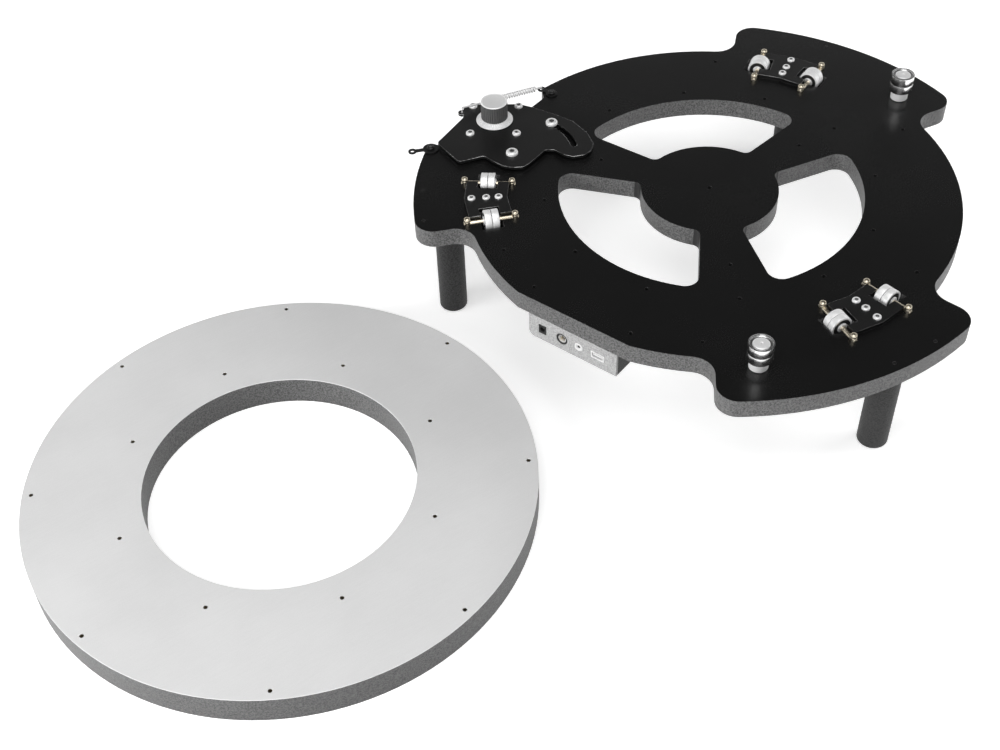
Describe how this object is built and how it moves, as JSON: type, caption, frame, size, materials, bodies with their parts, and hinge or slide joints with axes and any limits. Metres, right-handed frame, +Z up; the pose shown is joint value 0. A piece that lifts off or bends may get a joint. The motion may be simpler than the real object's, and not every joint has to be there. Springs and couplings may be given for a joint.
{
  "type": "friction drive turntable",
  "caption": "Motorised turntable shown open: a legged base plate with edge rollers, guide posts and a sprung drive wheel, its ring platter lying beside it.",
  "frame": {"origin": "turning axis, at the base plate's top face: the mouth of the centre hole", "axes": "+Z up along the turning axis, +X through the first guide post; the platter lies towards -X"},
  "size_m": [1.0749, 0.5696, 0.17],
  "materials": {
    "black_satin": "satin black coating",
    "plate_laminate": "satin black laminate with a speckled grey edge",
    "steel": "bright zinc plated",
    "bearing_steel": "ground and polished",
    "brass": "turned",
    "rubber": "ribbed",
    "platter_sheet": "satin silver sheet",
    "platter_board": "speckled grey board",
    "motor_metal": "machined",
    "motor_black": "black",
    "panel_grey": "light speckled grey",
    "socket_black": "moulded",
    "board_green": "solder mask"
  },
  "bodies": {
    "base": {"base_plate": "plate_laminate", "leg_1": "black_satin", "leg_2": "black_satin", "leg_3": "black_satin", "leg_flanges": "black_satin", "foot_pads": "rubber", "leg_screws": "steel", "roller_bracket_1": "black_satin", "roller_bracket_2": "black_satin", "roller_bracket_3": "black_satin", "bracket_screws": "steel", "roller_sleeves": "steel", "roller_axles": "brass", "axle_studs": "brass", "guide_collars": "bearing_steel", "guide_sleeves": "bearing_steel", "guide_bolts": "steel", "pivot_bush": "brass", "pivot_screw": "steel", "slot_bush": "brass", "slot_screw": "steel", "tension_spring": "steel", "spring_anchor": "black_satin", "park_eye": "black_satin", "anchor_screws": "steel", "box_shell": "black_satin", "front_panel": "panel_grey", "dc_inlet": "socket_black", "round_socket": "socket_black", "jack_socket": "steel", "data_port": "steel", "circuit_board": "board_green", "box_screws": "steel"},
    "swing": {"swing_plate": "black_satin", "gearbox": "motor_metal", "motor_can": "motor_black", "motor_screws": "steel"},
    "drive_wheel": {"drive_shaft": "steel", "wheel_hub": "motor_metal", "wheel_band": "rubber", "wheel_skirt": "steel", "wheel_cap": "steel"},
    "platter": {"platter_core": "platter_board", "platter_face": "platter_sheet", "platter_inserts": "brass"},
    "guide_bearing_1": {"guide_bearing_1": "bearing_steel"},
    "guide_bearing_2": {"guide_bearing_2": "bearing_steel"},
    "roller_1": {"roller_1": "bearing_steel"},
    "roller_2": {"roller_2": "bearing_steel"},
    "roller_3": {"roller_3": "bearing_steel"},
    "roller_4": {"roller_4": "bearing_steel"},
    "roller_5": {"roller_5": "bearing_steel"},
    "roller_6": {"roller_6": "bearing_steel"}
  },
  "joints": [
    {"name": "drive_swing", "type": "hinge", "parent": "base", "child": "swing", "pos_m": [-0.1337, 0.1633, 0.0037], "axis": [0, 0, 1], "range_deg": [0, 22], "stiffness_Nm_per_rad": 2, "springref_deg": -20.05, "deforming": ["tension_spring"]},
    {"name": "wheel_spin", "type": "hinge", "parent": "swing", "child": "drive_wheel", "pos_m": [-0.1149, 0.2244, 0.02], "axis": [0, 0, 1], "continuous": true},
    {"name": "roller_1_spin", "type": "hinge", "parent": "base", "child": "roller_1", "pos_m": [0.21228, 0.08319, -0.0005], "axis": [0.9311, 0.3649, 0], "continuous": true},
    {"name": "roller_2_spin", "type": "hinge", "parent": "base", "child": "roller_2", "pos_m": [0.18304, 0.13594, -0.0005], "axis": [0.8028, 0.5962, 0], "continuous": true},
    {"name": "roller_3_spin", "type": "hinge", "parent": "base", "child": "roller_3", "pos_m": [-0.17819, 0.14225, -0.0005], "axis": [-0.7815, 0.6239, 0], "continuous": true},
    {"name": "roller_4_spin", "type": "hinge", "parent": "base", "child": "roller_4", "pos_m": [-0.20925, 0.09055, -0.0005], "axis": [-0.9178, 0.3971, 0], "continuous": true},
    {"name": "roller_5_spin", "type": "hinge", "parent": "base", "child": "roller_5", "pos_m": [-0.03409, -0.22544, -0.0005], "axis": [-0.1495, -0.9888, 0], "continuous": true},
    {"name": "roller_6_spin", "type": "hinge", "parent": "base", "child": "roller_6", "pos_m": [0.02621, -0.22649, -0.0005], "axis": [0.1149, -0.9934, 0], "continuous": true},
    {"name": "guide_1_spin", "type": "hinge", "parent": "base", "child": "guide_bearing_1", "pos_m": [0.2623, 0, 0.0205], "axis": [0, 0, 1], "continuous": true},
    {"name": "guide_2_spin", "type": "hinge", "parent": "base", "child": "guide_bearing_2", "pos_m": [-0.13115, -0.22716, 0.0205], "axis": [0, 0, 1], "continuous": true},
    {"name": "platter_spin", "type": "hinge", "parent": "base", "child": "platter", "pos_m": [-0.52, 0, -0.124], "axis": [0, 0, 1], "continuous": true}
  ]
}
